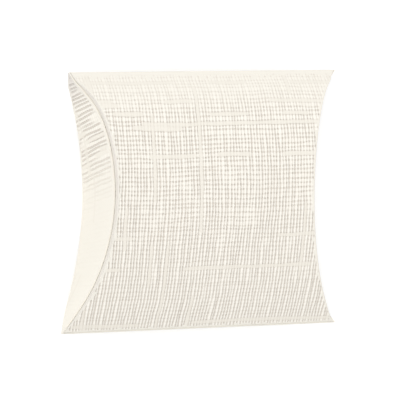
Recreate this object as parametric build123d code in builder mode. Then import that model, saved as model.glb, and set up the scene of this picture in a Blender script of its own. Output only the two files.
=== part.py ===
from build123d import *
from math import sqrt
import os

# Pillow box folded from one die-cut sheet of embossed card, lying on its back panel.
# X runs between the two curved ends, Y between the two straight creases, Z up through
# the front panel. The origin is on the table, below the middle of the box.
# Both panels bow by the same circular arc. Each end is closed by an outer flap, hinged
# on the back panel, with a shorter inner flap, hinged on the front panel, behind it.

# Driving dimensions of the closed box, in millimetres
crease_spacing = 100.0
corner_length = 118.0
panel_bow = 15.2
card_thickness = 0.5
crease_rounding = 0.4

# Glue seam along the straight crease on the -Y side
tab_width = 13.0
tab_root_setback = 5.0
tab_end_slant = 9.0
adhesive_thickness = 0.12
adhesive_width = 8.0
adhesive_crease_inset = 3.5
adhesive_end_inset = 2.5

# End flaps
crease_gap = 0.12
flap_gap = 0.15
outer_flap_reveal = 3.8
outer_tip_setback = 0.6
inner_tip_setback = 1.4
inner_flap_rise = 0.3
fold_rounding = 0.3

# Sizes and places worked out from the ones above
half_spacing = crease_spacing / 2
half_length = corner_length / 2
box_height = 2 * panel_bow
crease_height = panel_bow
bow_radius = (half_spacing**2 + panel_bow**2) / (2 * panel_bow)
lining_radius = bow_radius - card_thickness
front_axis_height = box_height - bow_radius
back_axis_height = bow_radius
end_axis_distance = half_length - panel_bow + bow_radius
half_lining_spacing = sqrt(lining_radius**2 - (bow_radius - panel_bow) ** 2)

# Radii of the upright flap faces and of the panel ends about each end's upright axis
outer_flap_face = bow_radius
outer_flap_back = outer_flap_face + card_thickness
back_panel_end = outer_flap_back + crease_gap
inner_flap_face = outer_flap_back + flap_gap
inner_flap_back = inner_flap_face + card_thickness
front_panel_end = inner_flap_back + crease_gap

# Radii of the glued tab about the back panel's axis
tab_glued_radius = lining_radius - adhesive_thickness
tab_free_radius = tab_glued_radius - card_thickness
adhesive_length = corner_length - 2 * (tab_root_setback + tab_end_slant + adhesive_end_inset)

# How an upright cylinder stands on its location
upright = (Align.CENTER, Align.CENTER, Align.MIN)


def bow_rise(distance):
    """Rise of a panel's outer face above the straight creases, off the centre line."""
    return sqrt(bow_radius**2 - distance**2) - (bow_radius - panel_bow)


def lens(half_width, rise):
    """Two equal arcs that meet at the height of the straight creases."""
    tip, far_tip = (-half_width, crease_height), (half_width, crease_height)
    with BuildLine() as outline:
        ThreePointArc(tip, (0, crease_height + rise), far_tip)
        ThreePointArc(far_tip, (0, crease_height - rise), tip)
    return outline.line


def bowed_panel(kept_side, end_radius):
    """One panel: half of the lens-shaped sleeve, with a concave arc cut at each end."""
    with BuildPart() as panel:
        with BuildSketch(Plane.YZ.offset(-half_length)) as section:
            make_face(lens(half_spacing, panel_bow).edges())
            fillet(section.vertices(), radius=crease_rounding)
            make_face(lens(half_lining_spacing, panel_bow - card_thickness).edges(), mode=Mode.SUBTRACT)
        extrude(amount=corner_length)
        split(bisect_by=Plane.XY.offset(crease_height), keep=kept_side)
        with PolarLocations(end_axis_distance, 2):
            Cylinder(end_radius, box_height, align=upright, mode=Mode.SUBTRACT)
    return panel.part


def end_flap(end_angle, tip, tip_height, middle_heights, face_radius):
    """Upright lens of card across one end, curved in plan like the ends of the panels."""
    low_height, high_height = middle_heights
    with BuildPart() as flap:
        with BuildSketch(Plane.YZ.offset(-half_length)):
            with BuildLine():
                ThreePointArc((-tip, tip_height), (0, low_height), (tip, tip_height))
                ThreePointArc((tip, tip_height), (0, high_height), (-tip, tip_height))
            make_face()
        extrude(amount=corner_length)
        with PolarLocations(end_axis_distance, 1, start_angle=end_angle):
            Cylinder(face_radius + card_thickness, box_height, align=upright, mode=Mode.INTERSECT)
            Cylinder(face_radius, box_height, align=upright, mode=Mode.SUBTRACT)
    return flap.part


def distance_out(edge):
    """Distance of an edge's middle from the box's middle, along its length."""
    return abs(edge.center().X)


os.makedirs("parts", exist_ok=True)

# Front panel, which faces up, and back panel, on which the box lies
with BuildPart() as front_panel:
    add(bowed_panel(Keep.TOP, front_panel_end))
front_panel.part.label = "front_panel"
export_step(front_panel.part, "parts/front_panel.step")

with BuildPart() as back_panel:
    add(bowed_panel(Keep.BOTTOM, back_panel_end))
back_panel.part.label = "back_panel"
export_step(back_panel.part, "parts/back_panel.step")

# Glue tab: folded in from the front panel, with slanted ends, flat against the back panel
with BuildPart() as glue_tab:
    with BuildSketch(Plane.YZ.offset(-half_length)):
        with Locations((0, back_axis_height)):
            Circle(tab_glued_radius)
            Circle(tab_free_radius, mode=Mode.SUBTRACT)
        with Locations((0, front_axis_height)):
            Circle(lining_radius, mode=Mode.INTERSECT)
        with Locations((-half_spacing, crease_height)):
            Rectangle(tab_width, box_height, align=(Align.MIN, Align.CENTER), mode=Mode.INTERSECT)
    extrude(amount=corner_length)
    with BuildSketch():
        with BuildLine():
            Polyline(
                (-half_length + tab_root_setback, -half_spacing),
                (-half_length + tab_root_setback + tab_end_slant, -half_spacing + tab_width),
                (half_length - tab_root_setback - tab_end_slant, -half_spacing + tab_width),
                (half_length - tab_root_setback, -half_spacing),
                close=True,
            )
        make_face()
    extrude(amount=box_height, mode=Mode.INTERSECT)
glue_tab.part.label = "glue_tab"
export_step(glue_tab.part, "parts/glue_tab.step")

# Line of adhesive that fills the gap between the tab and the back panel
with BuildPart() as adhesive_strip:
    with BuildSketch(Plane.YZ.offset(-half_length)):
        with Locations((0, back_axis_height)):
            Circle(lining_radius)
            Circle(tab_glued_radius, mode=Mode.SUBTRACT)
        with Locations((-half_spacing + adhesive_crease_inset, 0)):
            Rectangle(adhesive_width, crease_height, align=(Align.MIN, Align.MIN), mode=Mode.INTERSECT)
    extrude(amount=corner_length)
    with BuildSketch():
        Rectangle(adhesive_length, crease_spacing)
    extrude(amount=box_height, mode=Mode.INTERSECT)
adhesive_strip.part.label = "adhesive_strip"
export_step(adhesive_strip.part, "parts/adhesive_strip.step")

# Both ends: the flaps are mirror images of each other
for side, end_angle in (("left", 180), ("right", 0)):
    # Outer flap: rises from the back panel and stops short of the front crease
    outer_tip = half_spacing - outer_tip_setback
    with BuildPart() as outer_flap:
        add(
            end_flap(
                end_angle,
                outer_tip,
                crease_height - bow_rise(outer_tip),
                (0, box_height - outer_flap_reveal),
                outer_flap_face,
            )
        )
        low_edges = outer_flap.edges().sort_by(Axis.Z)[:2]
        fillet(low_edges.sort_by(distance_out)[-1], radius=fold_rounding)
    outer_flap.part.label = side + "_outer_flap"
    export_step(outer_flap.part, "parts/" + outer_flap.part.label + ".step")

    # Inner flap: hangs from the front panel down to the middle, behind the outer flap
    inner_tip = half_spacing - inner_tip_setback
    with BuildPart() as inner_flap:
        add(
            end_flap(
                end_angle,
                inner_tip,
                crease_height + bow_rise(inner_tip),
                (crease_height + inner_flap_rise, box_height),
                inner_flap_face,
            )
        )
        high_edges = inner_flap.edges().sort_by(Axis.Z)[-2:]
        fillet(high_edges.sort_by(distance_out)[-1], radius=fold_rounding)
    inner_flap.part.label = side + "_inner_flap"
    export_step(inner_flap.part, "parts/" + inner_flap.part.label + ".step")
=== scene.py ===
from math import asin, pi, radians, sqrt

import bpy
import numpy as np
from mathutils import Matrix, Vector


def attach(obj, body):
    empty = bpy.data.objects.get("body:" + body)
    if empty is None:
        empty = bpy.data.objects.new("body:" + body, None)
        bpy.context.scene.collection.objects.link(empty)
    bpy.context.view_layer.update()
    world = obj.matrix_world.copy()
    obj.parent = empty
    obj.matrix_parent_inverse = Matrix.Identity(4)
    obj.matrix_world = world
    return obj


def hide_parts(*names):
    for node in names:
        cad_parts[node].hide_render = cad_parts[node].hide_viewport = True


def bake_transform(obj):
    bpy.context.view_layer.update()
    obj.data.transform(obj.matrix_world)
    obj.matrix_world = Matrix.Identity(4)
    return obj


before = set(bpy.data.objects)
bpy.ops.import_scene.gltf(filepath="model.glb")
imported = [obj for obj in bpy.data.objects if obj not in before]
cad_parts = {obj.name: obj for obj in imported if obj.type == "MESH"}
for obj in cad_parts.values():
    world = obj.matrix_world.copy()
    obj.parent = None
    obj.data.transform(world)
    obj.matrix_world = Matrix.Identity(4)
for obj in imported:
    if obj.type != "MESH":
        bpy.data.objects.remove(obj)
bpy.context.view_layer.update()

# Lengths are in millimetres up to where a mesh is made. X runs from the left to the right
# curved end, Y from the glued straight crease, the seam, to the plain one, and Z up
# through the front panel.
MM = 0.001

# The closed box, with the sizes of the solids
HALF_SPACING = 50.0
HALF_LENGTH = 59.0
BOW = 15.2
THICKNESS = 0.5
ADHESIVE = 0.12
TAB_WIDTH = 13.0
TAB_SETBACK = 5.0
TAB_SLANT = 9.0

# Heights, distances and radii that follow from them. The last one is where a straight
# crease lies on the flat sheet, measured along the arc of a panel.
MIDDLE = BOW
RADIUS = (HALF_SPACING**2 + BOW**2) / (2 * BOW)
AXIS_DEPTH = RADIUS - BOW
END_AXIS = HALF_LENGTH - BOW + RADIUS
TAB_STEP = THICKNESS + ADHESIVE
TAB_ROOT = HALF_LENGTH - TAB_SETBACK
CREASE_ARC = RADIUS * asin(HALF_SPACING / RADIUS)

# Step from the outer flap's face in to the inner flap's, which the front panel's ends
# share. It is a little less than in the solids.
INNER_FLAP_STEP = 0.56

# Roundings of the creases. That of a curved crease is a share of the flap's height where
# the flap is low, and its inside reaches further than the card is thick.
STRAIGHT_ROUNDING = 0.8
SEAM_ROUNDING = 0.85
CURVED_ROUNDING = 0.45
SMALLEST_ROUNDING = 0.2
ROUNDING_SHARE = 0.4
INSIDE_EXTRA = 0.05

# Free edges of the card. A flap ends in a blunt tip where it gets lower than the tip
# height, and the inside of its card has a least straight part above the rounding.
BACK_EDGE = -49.75
OUTER_REVEAL = 3.6
REVEAL_POWER = 6
OUTER_TIP = 49.4
INNER_TIP = 49.3
INNER_EDGE_RISE = 0.3
TIP_HEIGHT = 0.25
LEAST_STRAIGHT = 0.1

# How far the flaps lean in from upright. The inner flap leans in fully where its panel
# has risen far enough.
INNER_LEAN = 0.8
INNER_LEAN_REACH = 1.1
OUTER_LEAN_SHARE = 0.9
OUTER_LEAN_REACH = 4.0
FULL_LEAN_RISE = 4.0

# How the photographed box differs from a regular one
CREASE_DEEPER = 0.9
SEAM_SIDE_SPREAD = 2.5
PLAIN_SIDE_SPREAD = 1.2
SEAM_CORNER_START = 41.0
SEAM_CORNER_TUCK = 1.0
SEAM_CORNER_SHIFT = 0.7
PLAIN_CORNER_START = 43.5
PLAIN_CORNER_TUCK = 1.6
PLAIN_CORNER_SHIFT = 0.6
CREASE_SHIFT = 0.5
CROWN_SHIFT = 4.0
CROWN_SHIFT_TILT = 1.9
CROWN_SHIFT_HEIGHTS = 8.0, 26.0

# About how wide the card is left without weave, beside a crease or edge
CURVED_MARGIN = 0.85
PLAIN_MARGIN = 2.3
SEAM_MARGIN = 0.8
FREE_EDGE_MARGIN = 1.1
OUTER_ROOT_MARGIN = 0.9
INNER_ROOT_MARGIN = 4.0

# How far the rows of the weave lean over on a flap, per millimetre up from its crease, at
# the middle of the flap and more for each millimetre towards the plain side
ROW_LEAN = 0.25
ROW_LEAN_PER_MM = 0.0029

# Limits for how far a point turns with its flap: the largest share of a quarter turn, and
# the least reach from the hinge line that it is worked out from
MOST_SHARE = 1.15
LEAST_REACH = 0.3

# How finely the card is divided
COLUMNS = 96
ARC_STEPS = 88
TAB_STEPS = 14
FLAP_STEPS = 16
FOLD_STEPS = 8
FOLD_SHARES = np.linspace(0, 1, FOLD_STEPS + 1)
TIP_SAMPLES = 4000


def smooth(share):
    """Eases a share at its two ends, 0 and 1."""
    return share**2 * (3 - 2 * share)


def bezier(t, start, control, end):
    """Curve from start to end that is drawn towards a control point."""
    return (1 - t) ** 2 * start + 2 * t * (1 - t) * control + t**2 * end


def grid_of(*values):
    """Grid with several values at each point."""
    return np.stack(np.broadcast_arrays(*values), -1)


def rise(y):
    """Height of a panel's outer face above the straight creases."""
    return np.sqrt(RADIUS**2 - y**2) - AXIS_DEPTH


def near_corner(y, start):
    """0 up to the start, and rising from there to 1 at the straight crease on the +Y side."""
    return np.clip((y - start) / (HALF_SPACING - start), 0, 1)


def crease_x(y, step):
    """Distance of a curved crease from the middle of the box. A step is towards the middle.
    As in the photograph, the crease is deeper than in the solids, spreads towards its ends
    and is tucked in again at the corners."""
    arc = END_AXIS - np.sqrt((RADIUS + step) ** 2 - y**2)
    spread = np.where(y > 0, PLAIN_SIDE_SPREAD, SEAM_SIDE_SPREAD)
    arc = arc - CREASE_DEEPER + spread * (y / HALF_SPACING) ** 2
    arc = arc - PLAIN_CORNER_TUCK * near_corner(y, PLAIN_CORNER_START)
    return arc - SEAM_CORNER_TUCK * near_corner(-y, SEAM_CORNER_START)


def askew(points):
    """Points of the box as it stands in the photograph. The card is moved to the right
    beside the straight creases, and the front's crown towards the plain one."""
    low, high = CROWN_SHIFT_HEIGHTS
    up = np.clip((points[:, 2] - low) / (high - low), 0, 1)
    side = np.clip(points[:, 1] / HALF_SPACING, -1, 1)
    between = (1 - np.abs(side) ** 3) * (1 + CROWN_SHIFT_TILT * side)
    moved = points.copy()
    moved[:, 0] += CREASE_SHIFT * side**4
    moved[:, 0] += PLAIN_CORNER_SHIFT * near_corner(points[:, 1], PLAIN_CORNER_START) ** 2
    moved[:, 0] += SEAM_CORNER_SHIFT * near_corner(-points[:, 1], SEAM_CORNER_START) ** 2
    moved[:, 1] += CROWN_SHIFT * smooth(up) * between
    return moved


def revealed(y):
    """How far the outer flap stops short of the front crease."""
    return OUTER_REVEAL * (1 - (y / OUTER_TIP) ** REVEAL_POWER)


def outer_height(y):
    """Height of the outer flap, up from its crease on the back panel."""
    return 2 * rise(y) - revealed(y)


def inner_edge(y):
    """Height of the inner flap's free edge: a flat arc through its middle and its tips."""
    middle = MIDDLE + INNER_EDGE_RISE
    sagitta = MIDDLE + rise(INNER_TIP) - middle
    radius = (INNER_TIP**2 + sagitta**2) / (2 * sagitta)
    return middle + radius - np.sqrt(radius**2 - y**2)


def inner_height(y):
    """Height of the inner flap, down from its crease on the front panel."""
    return MIDDLE + rise(y) - inner_edge(y)


def inner_lean(y, distance):
    """How far the inner flap leans in, at a distance down from its crease."""
    most = INNER_LEAN * np.minimum(1, rise(y) / FULL_LEAN_RISE)
    return most * (1 - np.exp(-distance / INNER_LEAN_REACH))


def blunt_tip(height, half_width):
    """Where a flap gets too low to go on."""
    y = np.linspace(0, half_width, TIP_SAMPLES)
    return float(y[height(y) > TIP_HEIGHT].max())


# The two kinds of flap: the height, the blunt tip, and the step of the flap and of the
# panel that carries it towards the middle of the box
OUTER_KIND = outer_height, blunt_tip(outer_height, OUTER_TIP), 0.0
INNER_KIND = inner_height, blunt_tip(inner_height, INNER_TIP), INNER_FLAP_STEP


def rounding(y, height, blunt):
    """Reach of a curved crease's rounding, which dies away towards the tips."""
    at = np.clip(y, -blunt, blunt)
    return np.clip(ROUNDING_SHARE * height(at), SMALLEST_ROUNDING, CURVED_ROUNDING)


def rounding_inside(reach):
    """Reach of the same rounding on the inside of the card."""
    return np.maximum(reach, THICKNESS + INSIDE_EXTRA)


# Meshes


def new_object(name, data):
    """A new object in the scene."""
    made = bpy.data.objects.new(name, data)
    bpy.context.scene.collection.objects.link(made)
    return made


def grid_faces(index):
    """The faces between the points of a grid."""
    a, b, c, d = index[:-1, :-1], index[1:, :-1], index[1:, 1:], index[:-1, 1:]
    return np.stack([a, b, c, d], -1).reshape(-1, 4)


def looks_out(outer, inner):
    """Whether the faces of the outer grid look away from the inner grid."""
    i, j = outer.shape[0] // 2, outer.shape[1] // 2
    normal = np.cross(outer[i + 1, j] - outer[i, j], outer[i, j + 1] - outer[i, j])
    return normal @ (outer[i, j] - inner[i, j]) > 0


def edge_places(points, ring, follower):
    """Places of the cut edge's corners: the length round the piece, and the depth through
    the card."""
    after = np.cumsum(np.linalg.norm(points[follower] - points[ring], axis=1)) / MM
    before = np.append(0, after[:-1])
    face, lining = np.zeros(len(ring)), np.full(len(ring), THICKNESS)
    corners = (before, face), (after, face), (after, lining), (before, lining)
    return np.stack([np.stack(corner, -1) for corner in corners], 1)


def sharpen(mesh, ring, follower, count):
    """Makes the edges round both faces sharp, and those across the cut edge."""
    borders = set(map(tuple, np.sort(np.stack([ring, follower], -1), 1).tolist()))
    borders |= {(p + count, q + count) for p, q in borders}
    mesh.update()
    for line in mesh.edges:
        low, high = sorted(line.vertices)
        line.use_edge_sharp = (low, high) in borders or high - low == count


def card_mesh(name, outer, inner, sheet, rim):
    """Closed mesh of a piece of card, from the grids of points on its two faces, their
    places on the sheet, and their distances to creases and edges, in margins. Its slots
    are the woven face, the plain face and the cut edge."""
    rows, columns = outer.shape[:2]
    count = rows * columns
    index = np.arange(count).reshape(rows, columns)
    points = askew(np.concatenate([outer.reshape(-1, 3), inner.reshape(-1, 3)])) * MM
    ring = np.concatenate([index[:-1, 0], index[-1, :-1], index[:0:-1, -1], index[0, :0:-1]])
    follower = np.roll(ring, -1)
    front = grid_faces(index)
    edge = np.stack([ring, follower, follower + count, ring + count], -1)
    edge_sheet = edge_places(points, ring, follower)
    if looks_out(outer, inner):
        edge, edge_sheet = edge[:, ::-1], edge_sheet[:, ::-1]
    else:
        front = front[:, ::-1]
    back = front[:, ::-1] + count
    faces = np.concatenate([front, back, edge])
    mesh = bpy.data.meshes.new(name)
    mesh.from_pydata(points.tolist(), [], faces.tolist())
    slots = np.repeat([0, 1, 2], [len(front), len(back), len(edge)])
    mesh.polygons.foreach_set("material_index", slots.astype(np.int32))
    mesh.polygons.foreach_set("use_smooth", np.ones(len(faces), bool))

    flat = sheet.reshape(-1, 2)
    on_faces = flat[front.ravel()], flat[back.ravel() - count]
    corners = np.concatenate([*on_faces, edge_sheet.reshape(-1, 2)])
    layer = mesh.uv_layers.new(name="sheet")
    layer.uv.foreach_set("vector", corners.astype(np.float32).ravel())
    rims = np.concatenate([rim.reshape(-1, 3)] * 2)
    attribute = mesh.attributes.new("rim", "FLOAT_VECTOR", "POINT")
    attribute.data.foreach_set("vector", rims.astype(np.float32).ravel())
    sharpen(mesh, ring, follower, count)
    mesh.validate()
    return new_object(name, mesh)


# Panels and glue tab


def on_arc(y, sign, step=0.0):
    """Points and outward normals of an arc in the section, a step inside the outer face of
    the front panel (sign +1) or the back panel (sign -1)."""
    radius = RADIUS - step
    up = np.sqrt(radius**2 - y**2)
    points = np.stack([y, MIDDLE + sign * (up - AXIS_DEPTH)], -1)
    return points, np.stack([y, sign * up], -1) / radius


def crossing(front_step, back_step, side=1):
    """Where an arc inside the front panel's outer face meets one inside the back panel's."""
    front, back = RADIUS - front_step, RADIUS - back_step
    up = (front**2 - back**2) / (4 * AXIS_DEPTH)
    return np.array([[side * sqrt(front**2 - (up + AXIS_DEPTH) ** 2), MIDDLE + up]])


def mirrored(points):
    """Points of the section, on the other side of the straight creases' height."""
    return np.stack([points[:, 0], 2 * MIDDLE - points[:, 1]], -1)


# Where the roundings of the straight creases begin on the panels
PLAIN_Y = HALF_SPACING - STRAIGHT_ROUNDING * AXIS_DEPTH / RADIUS
SEAM_Y = crossing(0.0, TAB_STEP, -1)[0, 0] + SEAM_ROUNDING * AXIS_DEPTH / RADIUS


def plain_fold(sign):
    """Section of the plain crease's half that a panel has: outer points and inner points."""
    start, normal = on_arc(np.array([PLAIN_Y]), sign)
    start_in = start - THICKNESS * normal
    t = FOLD_SHARES[1 : FOLD_STEPS // 2 + 1, None]
    outer = bezier(t, start, crossing(0.0, 0.0), mirrored(start))
    return outer, bezier(t, start_in, crossing(THICKNESS, THICKNESS), mirrored(start_in))


def seam_fold():
    """Section of the seam's fold, from the glue tab up to the front panel: outer points
    and inner points."""
    on_front, front_normal = on_arc(np.array([SEAM_Y]), 1)
    on_tab, tab_normal = on_arc(np.array([SEAM_Y]), -1, TAB_STEP)
    front_in = on_front - THICKNESS * front_normal
    tab_in = on_tab - THICKNESS * tab_normal
    t = FOLD_SHARES[:-1, None]
    outer = bezier(t, on_tab, crossing(0.0, TAB_STEP, -1), on_front)
    return outer, bezier(t, tab_in, crossing(THICKNESS, TAB_STEP + THICKNESS, -1), front_in)


def panel_section(sign):
    """Section of a panel, from the seam to the plain crease: outer points and inner points."""
    start = SEAM_Y if sign > 0 else BACK_EDGE
    arc, normal = on_arc(np.linspace(start, PLAIN_Y, ARC_STEPS + 1), sign)
    fold, fold_in = plain_fold(sign)
    outer, inner = [arc, fold], [arc - THICKNESS * normal, fold_in]
    if sign > 0:
        seam, seam_in = seam_fold()
        outer, inner = [seam, *outer], [seam_in, *inner]
    return np.concatenate(outer), np.concatenate(inner)


def drawn_out(section, reach):
    """Grid of points: a section drawn out along the box, as far as it reaches both ways."""
    grid = np.zeros((COLUMNS + 1, len(section), 3))
    grid[..., 0] = np.linspace(-1, 1, COLUMNS + 1)[:, None] * reach
    grid[..., 1:] = section
    return grid


def panel(name, node, sign):
    """The front panel (sign +1) or the back panel, with its share of the straight creases."""
    height, blunt, step = INNER_KIND if sign > 0 else OUTER_KIND
    section, section_in = panel_section(sign)
    y = section[:, 0]

    # Place along the sheet, measured along the section from the plain crease
    drawn = askew(np.column_stack([np.zeros(len(y)), section]))
    steps = np.linalg.norm(np.diff(drawn, axis=0), axis=1)
    v = CREASE_ARC - np.append(np.cumsum(steps[::-1])[::-1], 0)

    # From the middle of the seam's fold, the card narrows to the root of the tab
    seam = FOLD_STEPS // 2 if sign > 0 else 0
    narrowing = np.zeros(len(y))
    narrowing[:seam] = 1 - 2 * FOLD_SHARES[:seam]
    x, r = crease_x(y, step), rounding(y, height, blunt)
    reach, reach_in = x - r, x - rounding_inside(r)
    outer = drawn_out(section, reach + narrowing * (TAB_ROOT - reach))
    inner = drawn_out(section_in, reach_in + narrowing * (TAB_ROOT - reach_in))

    to_curved = (x - np.abs(outer[..., 0])) / CURVED_MARGIN
    to_straight = np.minimum((v[-1] - v) / PLAIN_MARGIN, (v - v[seam]) / SEAM_MARGIN)
    sheet = grid_of(outer[..., 0], v if sign > 0 else 2 * CREASE_ARC - v)
    piece = card_mesh(name, outer, inner, sheet, grid_of(to_curved, to_straight, 0.0))
    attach(piece, "sleeve")
    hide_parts(node)
    return piece


def glue_tab():
    """The tab that the front panel folds in, inside the back panel."""
    y = np.linspace(SEAM_Y, TAB_WIDTH - HALF_SPACING, TAB_STEPS + 1)
    points, normals = on_arc(y, -1, TAB_STEP)
    reach = TAB_ROOT - TAB_SLANT * (y + HALF_SPACING) / TAB_WIDTH
    outer = drawn_out(points, reach)
    inner = drawn_out(points - THICKNESS * normals, reach)
    to_root = y - SEAM_Y
    sheet = grid_of(outer[..., 0], -CREASE_ARC - to_root)
    rim = grid_of(reach - np.abs(outer[..., 0]), to_root, 0.0)
    piece = card_mesh("tab_card", outer, inner, sheet, rim)
    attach(piece, "sleeve")
    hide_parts("glue_tab")
    return piece


# Flaps


def flap_lean(y, distance, is_outer):
    """How far a flap leans in, at a distance from its crease. The free edge of an outer
    flap follows the inner flap."""
    if not is_outer:
        return inner_lean(y, distance)
    at_edge = OUTER_LEAN_SHARE * inner_lean(y, revealed(y))
    return at_edge * np.exp((distance - outer_height(y)) / OUTER_LEAN_REACH)


def flap_points(y, is_outer):
    """Grids of a flap at the right end: points on its outer face and on its inside, and
    distances from the crease. The rows lie through the crease's rounding, from the panel,
    and then along the flap to its free edge."""
    height, blunt, step = OUTER_KIND if is_outer else INNER_KIND
    up = 1 if is_outer else -1
    radius, zero = RADIUS + step, np.zeros_like(y)
    crease = np.stack([crease_x(y, step), y, MIDDLE - up * rise(y)], -1)
    face_normal = np.stack([np.sqrt(radius**2 - y**2), -y, zero], -1) / radius
    panel_normal = np.stack([zero, y, -up * np.sqrt(RADIUS**2 - y**2)], -1) / RADIUS
    inwards, upwards = np.array([-1.0, 0.0, 0.0]), np.array([0.0, 0.0, up])

    def on_flap(distance, depth=0.0):
        """Points at a distance along the flap, and at a depth below its outer face."""
        upright = crease + distance[:, None] * upwards
        return upright - (flap_lean(y, distance, is_outer) + depth)[:, None] * face_normal

    r = rounding(y, height, blunt)
    r_in = rounding_inside(r)
    root = crease + r[:, None] * inwards
    root_in = crease + r_in[:, None] * inwards - THICKNESS * panel_normal
    corner_in = crease - THICKNESS * (panel_normal + face_normal)
    stem, stem_in = on_flap(r), on_flap(r_in, THICKNESS)
    outer = [bezier(t, root, crease, stem) for t in FOLD_SHARES]
    inner = [bezier(t, root_in, corner_in, stem_in) for t in FOLD_SHARES]
    distance = [r * (2 * t - 1) for t in FOLD_SHARES]
    h = height(y)
    h_in = np.maximum(h, r_in + LEAST_STRAIGHT)
    for t in np.linspace(0, 1, FLAP_STEPS + 1)[1:]:
        distance.append(r + t * (h - r))
        outer.append(on_flap(distance[-1]))
        inner.append(on_flap(r_in + t * (h_in - r_in), THICKNESS))
    return (np.stack(rows, 1) for rows in (outer, inner, distance))


def turning(y, out, distance, leaning):
    """How far each point turns with a flap, as a share of a quarter turn, so that the open
    flap lies in line with its panel and has the panel's own bow. The share grows through
    the rounding of the crease."""
    off = (BOW - rise(y))[:, None]
    closed = np.arctan2(off + distance, out - leaning)
    opened = np.arctan2(off, np.maximum(out + distance, LEAST_REACH))
    share = np.minimum((closed - opened) / (pi / 2), MOST_SHARE)
    share[:, : FOLD_STEPS + 1] = share[:, [FOLD_STEPS]] * smooth(FOLD_SHARES)
    return share


def flap(name, node, side, is_outer):
    """An end flap, with the rounding of its curved crease."""
    height, blunt, step = OUTER_KIND if is_outer else INNER_KIND
    up = 1 if is_outer else -1
    y = np.linspace(-blunt, blunt, COLUMNS + 1)
    outer, inner, distance = flap_points(y, is_outer)
    x = crease_x(y, step)[:, None]
    hinge_x = HALF_LENGTH - BOW - step
    leaning = flap_lean(y[:, None], distance, is_outer)
    share = turning(y, x - hinge_x, distance, leaning)

    # Place on the sheet, and distances to the crease and the free edge
    drawn_y = askew(outer.reshape(-1, 3))[:, 1].reshape(distance.shape)
    row_lean = (ROW_LEAN + ROW_LEAN_PER_MM * y)[:, None] * np.maximum(distance, 0) * up
    v = RADIUS * np.arcsin(drawn_y / RADIUS) - row_lean
    sheet = grid_of(side * (x + distance), 2 * CREASE_ARC - v if is_outer else v)
    to_root = distance / (OUTER_ROOT_MARGIN if is_outer else INNER_ROOT_MARGIN)
    to_free = (height(y)[:, None] - distance) / FREE_EDGE_MARGIN
    outer[..., 0] *= side
    inner[..., 0] *= side
    piece = card_mesh(name, outer, inner, sheet, grid_of(to_root, to_free, 1.0))
    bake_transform(piece)
    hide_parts(node)
    return piece


# Shader nodes

NOISE_MIDDLE = 0.5


class Graph:
    """Short ways to add shader nodes to a tree and link them."""

    def __init__(self, tree):
        self.tree = tree

    def node(self, kind, **settings):
        made = self.tree.nodes.new(kind)
        for key, value in settings.items():
            setattr(made, key, value)
        return made

    def feed(self, socket, value):
        """Links a socket to another, or sets its own value."""
        if isinstance(value, bpy.types.NodeSocket):
            self.tree.links.new(value, socket)
        else:
            socket.default_value = value

    def math(self, operation, *values, clamp=False):
        made = self.node("ShaderNodeMath", operation=operation, use_clamp=clamp)
        for socket, value in zip(made.inputs, values):
            self.feed(socket, value)
        return made.outputs[0]

    def add(self, *values):
        total = values[0]
        for value in values[1:]:
            total = self.math("ADD", total, value)
        return total

    def times(self, *values):
        total = values[0]
        for value in values[1:]:
            total = self.math("MULTIPLY", total, value)
        return total

    def minus(self, first, second):
        return self.math("SUBTRACT", first, second)

    def line(self, value, slope, start):
        """The value times a slope, plus a start."""
        return self.math("MULTIPLY_ADD", value, slope, start)

    def swing(self, noise, width):
        """Noise moved to swing about 0, and scaled to a width."""
        return self.times(self.minus(noise, NOISE_MIDDLE), width)

    def split(self, vector):
        """The three parts of a vector."""
        made = self.node("ShaderNodeSeparateXYZ")
        self.feed(made.inputs[0], vector)
        return tuple(made.outputs)

    def point(self, x, y):
        made = self.node("ShaderNodeCombineXYZ")
        self.feed(made.inputs[0], x)
        self.feed(made.inputs[1], y)
        return made.outputs[0]

    def noise(self, x, y, detail=0.0):
        """Smooth noise about its middle, at a place given in its own waves."""
        made = self.node("ShaderNodeTexNoise", noise_dimensions="2D")
        self.feed(made.inputs["Vector"], self.point(x, y))
        made.inputs["Scale"].default_value = 1.0
        made.inputs["Detail"].default_value = detail
        return made.outputs[0]

    def grain(self, place, waves, detail=0.0):
        """Smooth noise with so many waves per unit of each part of a place."""
        x, y = (self.times(part, wave) for part, wave in zip(place, waves))
        return self.noise(x, y, detail)

    def white(self, x, y):
        """Noise from 0 to 1 without any likeness between neighbours."""
        made = self.node("ShaderNodeTexWhiteNoise", noise_dimensions="2D")
        self.feed(made.inputs["Vector"], self.point(x, y))
        return made.outputs["Value"]

    def ease(self, value, low, high):
        """0 below low, 1 above high, smooth between. High may be the lower of the two."""
        made = self.node("ShaderNodeMapRange", interpolation_type="SMOOTHSTEP")
        self.feed(made.inputs["Value"], value)
        self.feed(made.inputs["From Min"], low)
        self.feed(made.inputs["From Max"], high)
        return made.outputs[0]

    def mix(self, factor, first, second):
        """Mix of two colours."""
        made = self.node("ShaderNodeMix", data_type="RGBA")
        self.feed(made.inputs["Factor"], factor)
        for name, value in (("A", first), ("B", second)):
            socket = [s for s in made.inputs if s.name == name and s.type == "RGBA"][0]
            self.feed(socket, value)
        return [s for s in made.outputs if s.type == "RGBA"][0]


# The weave

# Columns of thread run across the box and rows along it. The sides of a groove are the
# distances from its middle where it begins to sink and where it is deepest. A swerve is in
# pitches, and waves are per millimetre, or per thread where the place is a thread's number.
COLUMN_PITCH = 1.32
COLUMN_SIDES = 0.45, 0.05
COLUMN_SWERVE = 0.36
COLUMN_SEED = 3.7
ROW_PITCH = 1.74
ROW_SIDES = 0.52, 0.08
ROW_SWERVE = 0.3
ROW_SEED = 41.3
UNEVEN_PITCH = 0.24
SLOW_TIMES = 2.6
SLOW_WAVES = 0.045, 0.03
WANDER_WAVES = 0.71, 0.14

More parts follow.
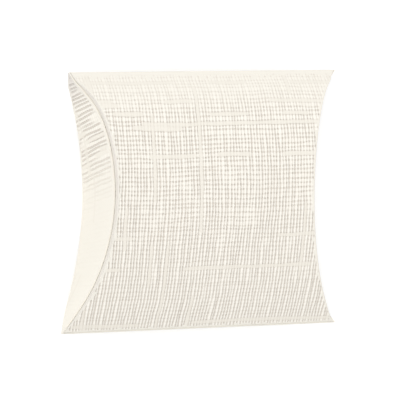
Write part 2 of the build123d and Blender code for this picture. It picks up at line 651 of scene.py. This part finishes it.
# Stretches of the sheet, as the places along it where a change begins and is complete
LOWER_PART = 15.0, -35.0
NEAR_PLAIN = CREASE_ARC - 24.0, CREASE_ARC - 6.0
# The half of an outer flap towards the seam, where the weave is faded out as painted light
LIT_HALF = 2 * CREASE_ARC - 18.0, 2 * CREASE_ARC + 8.0
SHADED_TIP = CREASE_ARC + 34.0, CREASE_ARC

# Strength of the grooves and pits from place to place
REGION_WAVES = 0.060, 0.068
REGION_START = 9.1
REGION_SHARE = 0.4
LOWER_SHARE = 0.4
COLUMN_PART_WAVES = 0.77, 0.085
COLUMN_STRONG = 0.52, 0.95
COLUMN_LEAST = 0.34
ROW_PART_WAVES = 0.07, 0.77
ROW_STRONG = 0.22, 0.46
FLAP_ROWS_MORE = 0.22
PIT_LEAST = 0.55
PIT_RANGE = 0.6

# How much stronger each is on the lower part, where 1 stands for twice as strong
COLUMNS_LOWER = 0.2
ROWS_LOWER = -0.6
PITS_LOWER = -0.7

# Slub threads: a thread is one where its random number lies above a limit, on stretches
# that start and stop along its length
COLUMN_SLUB_SEED = 19.0
COLUMN_SLUB_ABOVE = 0.93
COLUMN_SLUB_WAVES = 3.1, 0.03
ROW_SLUB_SEED = 7.0
ROW_SLUB_ABOVE = 0.90
ROW_SLUB_WAVES = 0.035, 3.1
SLUB_ENDS = 0.49, 0.51
SLUB_FLATNESS = 0.72
SLUB_SHADE = 0.22
SLUB_SHADE_LOWER = 0.14

# How the weave sets in beside a crease or edge, in margins, and how much of it is faded out on the
# half of each outer flap towards the seam, which paints that half smooth and light, as light
# falling square on it looks
FADE_START = 0.75
FADE_RANGE = 1.3
FADE_POWER = 3.0
FADE_WIDTH = 0.3
LIT_HALF_LOSS = 0.94

# Values on the panels and on the flaps
COLUMN_DEPTHS = 0.66, 0.08
ROW_DEPTHS = 0.24, 1.8
PIT_DEPTHS = 1.0, 0.4
DEEPEST = 1.15, 2.0
NEAR_PLAIN_CHANGES = -0.56, -0.35
DEPTH_SHADES = 1.0, 0.65
ROW_CROWN_LOSS = 0.6

# Painted shade: on the smooth strip beside an inner flap's crease, for the shade it lies in behind
# the outer flap's edge, with its sides in margins, and on an outer flap's tip at the plain side,
# which faces away from the light
SHADED_STRIP_SIDES = 1.6, 1.2
SHADED_STRIP_SHARE = 0.5
SHADED_TIP_POWER = 4.0

# Of these outputs, the shade of the grooves and the last one are painted shade
LINEN_OUTPUTS = "Depth", "Thread", "Shade", "Painted Shade"


class Linen(Graph):
    """The pattern of a linen weave in a shader group, at a place u, v on the sheet."""

    def __init__(self, tree):
        super().__init__(tree)
        entry = self.node("NodeGroupInput")
        self.u, self.v = self.split(entry.outputs["Sheet"])[:2]
        self.to_crease, self.to_edge, self.on_flap = self.split(entry.outputs["Rim"])
        self.lower = self.ease(self.v, *LOWER_PART)

    def by_piece(self, on_panels, on_flaps):
        """One value on the panels and another on the flaps."""
        return self.line(self.on_flap, on_flaps - on_panels, on_panels)

    def threads(self, along, across, pitch, sides, swerve, seed):
        """Number of the groove between two threads, its depth from 0 to 1, and number of
        the thread. The grooves are unevenly spaced and wander a little."""
        slow = self.swing(self.grain((across, along), SLOW_WAVES), SLOW_TIMES * swerve)
        place = self.add(self.times(across, 1 / pitch), slow)
        number = self.math("FLOOR", place)
        uneven = self.swing(self.white(number, seed), UNEVEN_PITCH)
        wander = self.swing(self.grain((number, along), WANDER_WAVES), swerve)
        inside = self.minus(self.minus(place, number), 0.5)
        off = self.times(self.minus(inside, self.add(uneven, wander)), pitch)
        groove = self.ease(self.math("ABSOLUTE", off), *sides)
        return number, groove, self.add(number, self.math("GREATER_THAN", off, 0.0))

    def column_strength(self, column, region):
        """Strength of a column's groove along its length."""
        part = self.grain((column, self.v), COLUMN_PART_WAVES)
        more = self.add(part, self.times(region, REGION_SHARE), self.times(self.lower, LOWER_SHARE))
        strength = self.line(self.ease(more, *COLUMN_STRONG), 1 - COLUMN_LEAST, COLUMN_LEAST)
        return self.times(strength, self.line(self.lower, COLUMNS_LOWER, 1.0))

    def row_strength(self, row, region):
        """Strength of a row's groove along its length."""
        part = self.grain((self.u, row), ROW_PART_WAVES)
        more = self.line(self.on_flap, FLAP_ROWS_MORE, self.times(region, -REGION_SHARE))
        strength = self.ease(self.add(part, more), *ROW_STRONG)
        return self.times(strength, self.line(self.lower, ROWS_LOWER, 1.0))

    def pit_strength(self, column, row):
        """Strength of each pit, where two grooves cross."""
        uneven = self.line(self.white(column, row), PIT_RANGE, PIT_LEAST)
        return self.times(uneven, self.line(self.lower, PITS_LOWER, 1.0))

    def slub(self, thread, seed, above, place, waves):
        """1 on the stretches where a thread is a slub."""
        chosen = self.math("GREATER_THAN", self.white(thread, seed), above)
        return self.times(chosen, self.ease(self.grain(place, waves), *SLUB_ENDS))

    def slubs(self, column, row):
        """How flat the slub threads press the card, both ways."""
        column_slub = self.slub(
            column, COLUMN_SLUB_SEED, COLUMN_SLUB_ABOVE, (column, self.v), COLUMN_SLUB_WAVES
        )
        row_slub = self.slub(row, ROW_SLUB_SEED, ROW_SLUB_ABOVE, (self.u, row), ROW_SLUB_WAVES)
        return self.times(self.math("MAXIMUM", row_slub, column_slub), SLUB_FLATNESS)

    def fade(self, column, row):
        """1 inside the weave and 0 beside creases and edges. It ends thread by thread."""
        rim = self.math("MINIMUM", self.to_crease, self.to_edge)
        uneven = self.math("POWER", self.white(row, column), FADE_POWER)
        start = self.line(uneven, FADE_RANGE, FADE_START)
        return self.ease(rim, start, self.add(start, FADE_WIDTH))

    def pressed(self):
        """How much of the weave is left, on the half of each outer flap towards the seam and near
        the plain crease. On that half the weave and its painted groove shade are faded out, which
        paints the half smooth and light, as light falling square on it looks."""
        lit_half = self.times(self.on_flap, self.ease(self.v, *LIT_HALF))
        near_plain = self.ease(self.v, *NEAR_PLAIN)
        left_near_plain = self.line(near_plain, self.by_piece(*NEAR_PLAIN_CHANGES), 1.0)
        return self.times(self.line(lit_half, -LIT_HALF_LOSS, 1.0), left_near_plain)

    def painted_shade(self):
        """Painted shade on the smooth strip beside an inner flap's crease, for the shade it lies in
        behind the outer flap's edge, and on an outer flap's tip at the plain side, which faces away
        from the light."""
        is_inner = self.times(self.on_flap, self.math("LESS_THAN", self.v, CREASE_ARC))
        strip = self.times(is_inner, self.ease(self.to_crease, *SHADED_STRIP_SIDES))
        is_outer = self.times(self.on_flap, self.math("GREATER_THAN", self.v, CREASE_ARC))
        tip = self.times(is_outer, self.math("POWER", self.ease(self.v, *SHADED_TIP), SHADED_TIP_POWER))
        return self.add(self.times(strip, SHADED_STRIP_SHARE), tip)


def linen_group():
    """Depth of a linen weave pressed into card, the crown of its threads, which the colour lightens
    as a painted highlight, a painted shade for the grooves and pits, which also darkens the slub
    bars, and a painted shade for the strip beside an inner flap's crease and for an outer flap's
    tip, from a place on the sheet in millimetres. Grooves run between the threads both ways, with a
    pit where two of them cross. Some threads are thick slubs, which leave a plain bar. On a flap
    the rows stand out."""
    tree = bpy.data.node_groups.new("linen_emboss", "ShaderNodeTree")
    for name in ("Sheet", "Rim"):
        tree.interface.new_socket(name, in_out="INPUT", socket_type="NodeSocketVector")
    for name in LINEN_OUTPUTS:
        tree.interface.new_socket(name, in_out="OUTPUT", socket_type="NodeSocketFloat")
    g = Linen(tree)
    column, column_groove, column_thread = g.threads(
        g.v, g.u, COLUMN_PITCH, COLUMN_SIDES, COLUMN_SWERVE, COLUMN_SEED
    )
    row, row_groove, row_thread = g.threads(g.u, g.v, ROW_PITCH, ROW_SIDES, ROW_SWERVE, ROW_SEED)
    along, across = (g.times(part, wave) for part, wave in zip((g.u, g.v), REGION_WAVES))
    region = g.noise(g.add(along, REGION_START), across)
    woven = g.fade(column, row)
    plain = g.slubs(column_thread, row_thread)
    amount = g.times(g.minus(1.0, plain), woven, g.pressed())

    columns = g.times(g.by_piece(*COLUMN_DEPTHS), g.column_strength(column, region), column_groove)
    rows = g.times(g.by_piece(*ROW_DEPTHS), g.row_strength(row, region), row_groove)
    pits = g.times(g.by_piece(*PIT_DEPTHS), g.pit_strength(column, row), column_groove, row_groove)
    depth = g.times(amount, g.math("MINIMUM", g.add(columns, rows, pits), g.by_piece(*DEEPEST)))
    crown = g.times(g.minus(1.0, column_groove), g.line(row_groove, -ROW_CROWN_LOSS, 1.0))
    slub_shade = g.times(plain, woven, g.line(g.lower, SLUB_SHADE_LOWER, SLUB_SHADE))
    shade = g.add(g.times(g.by_piece(*DEPTH_SHADES), depth), slub_shade)
    leave = g.node("NodeGroupOutput")
    for name, value in zip(LINEN_OUTPUTS, (depth, g.times(amount, crown), shade, g.painted_shade())):
        g.feed(leave.inputs[name], value)
    return tree


# Materials

# The distances that a surface is raised by are in metres. A rim far from every crease and
# edge leaves the whole weave.
WHITE = 1, 1, 1, 1
FAR_RIM = 9, 9, 0


def new_material(name):
    """A new material, with its graph and its surface shader."""
    material = bpy.data.materials.new(name)
    material.use_nodes = True
    g = Graph(material.node_tree)
    return material, g, material.node_tree.nodes["Principled BSDF"]


def on_sheet(g):
    """Place on the sheet in millimetres: its vector and its two parts."""
    place = g.node("ShaderNodeUVMap", uv_map="sheet").outputs[0]
    return place, g.split(place)[:2]


def weave_at(g, linen, place, rim):
    """The outputs of the linen weave, at a place on the sheet."""
    group = g.node("ShaderNodeGroup", node_tree=linen)
    g.feed(group.inputs["Sheet"], place)
    g.feed(group.inputs["Rim"], rim)
    return group.outputs


def dress(g, surface, colour, roughness, specular):
    """Gives a surface its colour and gloss."""
    g.feed(surface.inputs["Base Color"], colour)
    g.feed(surface.inputs["Roughness"], roughness)
    surface.inputs["Specular IOR Level"].default_value = specular


def emboss(g, surface, height, distance, strength=1.0):
    """Raises a surface by a height, as so many times a distance."""
    bump = g.node("ShaderNodeBump")
    bump.inputs["Strength"].default_value = strength
    bump.inputs["Distance"].default_value = distance
    g.feed(bump.inputs["Height"], height)
    g.feed(surface.inputs["Normal"], bump.outputs[0])


IVORY = 0.903, 0.867, 0.784, 1
# A lighter ivory for a painted highlight on the thread crowns
IVORY_CROWN_HIGHLIGHT = 1.0, 0.957, 0.880, 1
# A darker ivory for painted shade in the weave's grooves and pits, which also darkens the slub bars
IVORY_SHADED = 0.67, 0.57, 0.475, 1
# A greyer ivory for painted shade on the strip beside an inner flap's crease and on an outer flap's
# tip
IVORY_PAINTED_SHADE = 0.75, 0.711, 0.666, 1
WEAVE_DEPTH = 0.00027
WEAVE_SHADE = 0.52
WEAVE_ROUGHNESS = 0.72
GROOVE_ROUGHNESS = 0.08
CROWN_HEIGHT = 0.12
CLOUD_WAVES = 0.12, 0.12
CLOUD_SHADE = 0.03
FIBRE_WAVES = 4.5, 7.0
FIBRE_HEIGHT = 0.05
FIBRE_ROUGHNESS = 0.16


def woven_card(linen):
    """Ivory card pressed with a linen weave, matt."""
    material, g, surface = new_material("ivory_linen_card")
    place, parts = on_sheet(g)
    rim = g.node("ShaderNodeAttribute", attribute_name="rim").outputs["Vector"]
    weave = weave_at(g, linen, place, rim)
    depth, thread, shade, painted_shade = (weave[name] for name in LINEN_OUTPUTS)
    clouds = g.swing(g.grain(parts, CLOUD_WAVES, detail=3.0), CLOUD_SHADE)
    fibres = g.grain(parts, FIBRE_WAVES, detail=4.0)
    # Painted shade: the grooves and pits are mixed towards a darker ivory, for the shade that falls
    # in them
    darker = g.math("ADD", clouds, g.times(shade, WEAVE_SHADE), clamp=True)
    # Painted highlight: the thread crowns are mixed towards a lighter ivory, for the light they
    # catch
    pressed = g.mix(darker, g.mix(thread, IVORY, IVORY_CROWN_HIGHLIGHT), IVORY_SHADED)
    rougher = g.times(GROOVE_ROUGHNESS, depth)
    roughness = g.add(WEAVE_ROUGHNESS, g.times(FIBRE_ROUGHNESS, fibres), rougher)
    # Painted shade: the strip beside an inner flap's crease and an outer flap's tip are mixed
    # towards a greyer ivory, for the shade they lie in
    dress(g, surface, g.mix(painted_shade, pressed, IVORY_PAINTED_SHADE), roughness, specular=0.25)
    raised = g.add(g.times(thread, CROWN_HEIGHT), g.times(fibres, FIBRE_HEIGHT))
    emboss(g, surface, g.minus(raised, depth), WEAVE_DEPTH)
    return material


LINING_LIGHT = 0.90, 0.875, 0.81, 1
LINING_DARK = 0.78, 0.74, 0.65, 1
LINING_ROUGHNESS = 0.80
LINING_DEPTH = 0.00003
LINING_WEAVE_HEIGHT = 0.8
PULP_WAVES = 0.9, 1.3
PULP_SHADE = 0.35
PULP_ROUGHNESS = 0.15
SPECK_WAVES = 2.1, 3.0
SPECK_SIDES = 0.70, 0.78
SPECK_SHADE = 0.18


def plain_card(linen):
    """Uncoated inside of the card: pulpy, with the weave showing through faintly."""
    material, g, surface = new_material("ivory_plain_card")
    place, parts = on_sheet(g)
    depth = weave_at(g, linen, place, FAR_RIM)["Depth"]
    pulp = g.grain(parts, PULP_WAVES, detail=5.0)
    specks = g.ease(g.grain(parts, SPECK_WAVES, detail=2.0), *SPECK_SIDES)
    shade = g.math("ADD", g.times(PULP_SHADE, pulp), g.times(SPECK_SHADE, specks), clamp=True)
    colour = g.mix(shade, LINING_LIGHT, LINING_DARK)
    dress(g, surface, colour, g.line(pulp, PULP_ROUGHNESS, LINING_ROUGHNESS), specular=0.2)
    emboss(g, surface, g.line(depth, LINING_WEAVE_HEIGHT, pulp), LINING_DEPTH)
    return material


CUT_DARK = 0.86, 0.82, 0.73, 1
CUT_LIGHT = 0.93, 0.90, 0.83, 1
CUT_ROUGHNESS = 0.85
CUT_DEPTH = 0.00004
CUT_STRENGTH = 0.8
LAYER_WAVES = 0.25, 9.0
LAYER_SIDES = 0.3, 0.7
FLUFF_WAVES = 5.0, 6.0
FLUFF_ROUGHNESS = 0.1


def cut_card():
    """Cut edge of the card: fibres in layers, a little darker than the faces."""
    material, g, surface = new_material("ivory_cut_edge")
    parts = on_sheet(g)[1]
    layers = g.grain(parts, LAYER_WAVES, detail=4.0)
    fluff = g.grain(parts, FLUFF_WAVES, detail=3.0)
    colour = g.mix(g.ease(layers, *LAYER_SIDES), CUT_DARK, CUT_LIGHT)
    dress(g, surface, colour, g.line(fluff, FLUFF_ROUGHNESS, CUT_ROUGHNESS), specular=0.15)
    emboss(g, surface, g.add(layers, fluff), CUT_DEPTH, CUT_STRENGTH)
    return material


GLUE_DARK = 0.80, 0.76, 0.62, 1
GLUE_LIGHT = 0.88, 0.85, 0.76, 1
GLUE_ROUGHNESS = 0.30
GLUE_ROUGHNESS_MORE = 0.25
GLUE_DEPTH = 0.00005
GLUE_STRENGTH = 0.5
GLUE_WAVES_PER_METRE = 900.0


def dried_glue():
    """Dried adhesive: yellowish, slightly glossy and uneven."""
    material, g, surface = new_material("dried_glue")
    noise = g.node("ShaderNodeTexNoise")
    g.feed(noise.inputs["Vector"], g.node("ShaderNodeTexCoord").outputs["Object"])
    noise.inputs["Scale"].default_value = GLUE_WAVES_PER_METRE
    noise.inputs["Detail"].default_value = 3.0
    fine = noise.outputs[0]
    roughness = g.line(fine, GLUE_ROUGHNESS_MORE, GLUE_ROUGHNESS)
    dress(g, surface, g.mix(fine, GLUE_DARK, GLUE_LIGHT), roughness, specular=0.5)
    emboss(g, surface, fine, GLUE_DEPTH, GLUE_STRENGTH)
    return material


# Pieces

pieces = [
    panel("front_panel_card", "front_panel", 1),
    panel("back_panel_card", "back_panel", -1),
    glue_tab(),
]
for end, side in (("left", -1), ("right", 1)):
    pieces.append(flap(end + "_outer_flap_card", end + "_outer_flap", side, True))
    pieces.append(flap(end + "_inner_flap_card", end + "_inner_flap", side, False))

# The slots of a piece of card: woven face, plain face and cut edge
linen = linen_group()
card_materials = woven_card(linen), plain_card(linen), cut_card()
for piece in pieces:
    for material in card_materials:
        piece.data.materials.append(material)
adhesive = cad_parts["adhesive_strip"]
adhesive.data.materials.clear()
adhesive.data.materials.append(dried_glue())


# Floor, light and camera

# The floor's size and the camera's clip distances are in metres, and angles in degrees
FLOOR_SIZE = 4.0
FLOOR_WHITE = 0.94, 0.94, 0.94, 1
FLOOR_ROUGHNESS = 0.9
FLOOR_GLOW = 0.19
WORLD_LIGHT = 0.715
KEY_LIGHT = 0.345
KEY_SPREAD = 25
KEY_DIRECTION = -0.47, 0.06, 0.78
TOP_LIGHT = 0.08
TOP_SPREAD = 50
TOP_DIRECTION = 0.0, 1.0, 0.35

# The camera's angles, lens and place were fitted to the outline and the creases in the
# photograph. The place is along the camera's own axes, from the middle of the box.
CAMERA_ROLL = -0.85
CAMERA_TILT = 4.69
CAMERA_TURN = 26.93
CAMERA_PLACE = 0.14, 0.02, 1500.0
CAMERA_LENS = 350.4
CAMERA_CLIPS = 0.05, 20


def only_seen(g):
    """1 for what the camera, a mirror or clear glass sees, and 0 for light on the object."""
    path = g.node("ShaderNodeLightPath")
    seen = path.outputs["Is Camera Ray"]
    for name in ("Is Glossy Ray", "Is Transmission Ray"):
        seen = g.math("MAXIMUM", seen, path.outputs[name])
    return seen


def white_floor():
    """A plain floor, which glows a little where it is seen."""
    mesh = bpy.data.meshes.new("floor")
    half = FLOOR_SIZE / 2
    corners = [(-half, -half, 0), (half, -half, 0), (half, half, 0), (-half, half, 0)]
    mesh.from_pydata(corners, [], [(0, 1, 2, 3)])
    floor = new_object("floor", mesh)
    material, g, surface = new_material("white_floor")
    dress(g, surface, FLOOR_WHITE, FLOOR_ROUGHNESS, specular=0.0)
    surface.inputs["Emission Color"].default_value = WHITE
    g.feed(surface.inputs["Emission Strength"], g.times(only_seen(g), FLOOR_GLOW))
    mesh.materials.append(material)


def studio_world():
    """Even light from all round, on a background that looks white."""
    world = bpy.data.worlds.new("studio")
    bpy.context.scene.world = world
    world.use_nodes = True
    g = Graph(world.node_tree)
    background = world.node_tree.nodes["Background"]
    background.inputs["Color"].default_value = WHITE
    g.feed(background.inputs["Strength"], g.line(only_seen(g), 1 - WORLD_LIGHT, WORLD_LIGHT))


def distant_light(name, strength, spread, direction):
    """Light that falls from a direction, spread over an angle."""
    light = bpy.data.lights.new(name, "SUN")
    light.energy = strength * pi
    light.angle = radians(spread)
    lamp = new_object(name, light)
    lamp.rotation_euler = Vector(direction).to_track_quat("Z", "Y").to_euler()


def fitted_camera():
    """The camera that sees the box as the photograph does."""
    roll = Matrix.Rotation(radians(CAMERA_ROLL), 3, "Z")
    tilt = Matrix.Rotation(radians(CAMERA_TILT), 3, "X")
    turn = Matrix.Rotation(radians(CAMERA_TURN), 3, "Y")
    axes = (roll @ tilt @ turn).transposed()
    place = (axes @ Vector(CAMERA_PLACE) + Vector((0, 0, MIDDLE))) * MM
    data = bpy.data.cameras.new("camera")
    data.lens = CAMERA_LENS
    data.clip_start, data.clip_end = CAMERA_CLIPS
    camera = new_object("camera", data)
    camera.matrix_world = Matrix.Translation(place) @ axes.to_4x4()
    return camera


white_floor()
studio_world()

# The key light falls from the left of the picture, low enough to show the weave. A weak
# light falls from its top.
distant_light("key", KEY_LIGHT, KEY_SPREAD, KEY_DIRECTION)
distant_light("top_light", TOP_LIGHT, TOP_SPREAD, TOP_DIRECTION)
bpy.context.scene.camera = fitted_camera()
bpy.context.scene.view_settings.view_transform = "Standard"
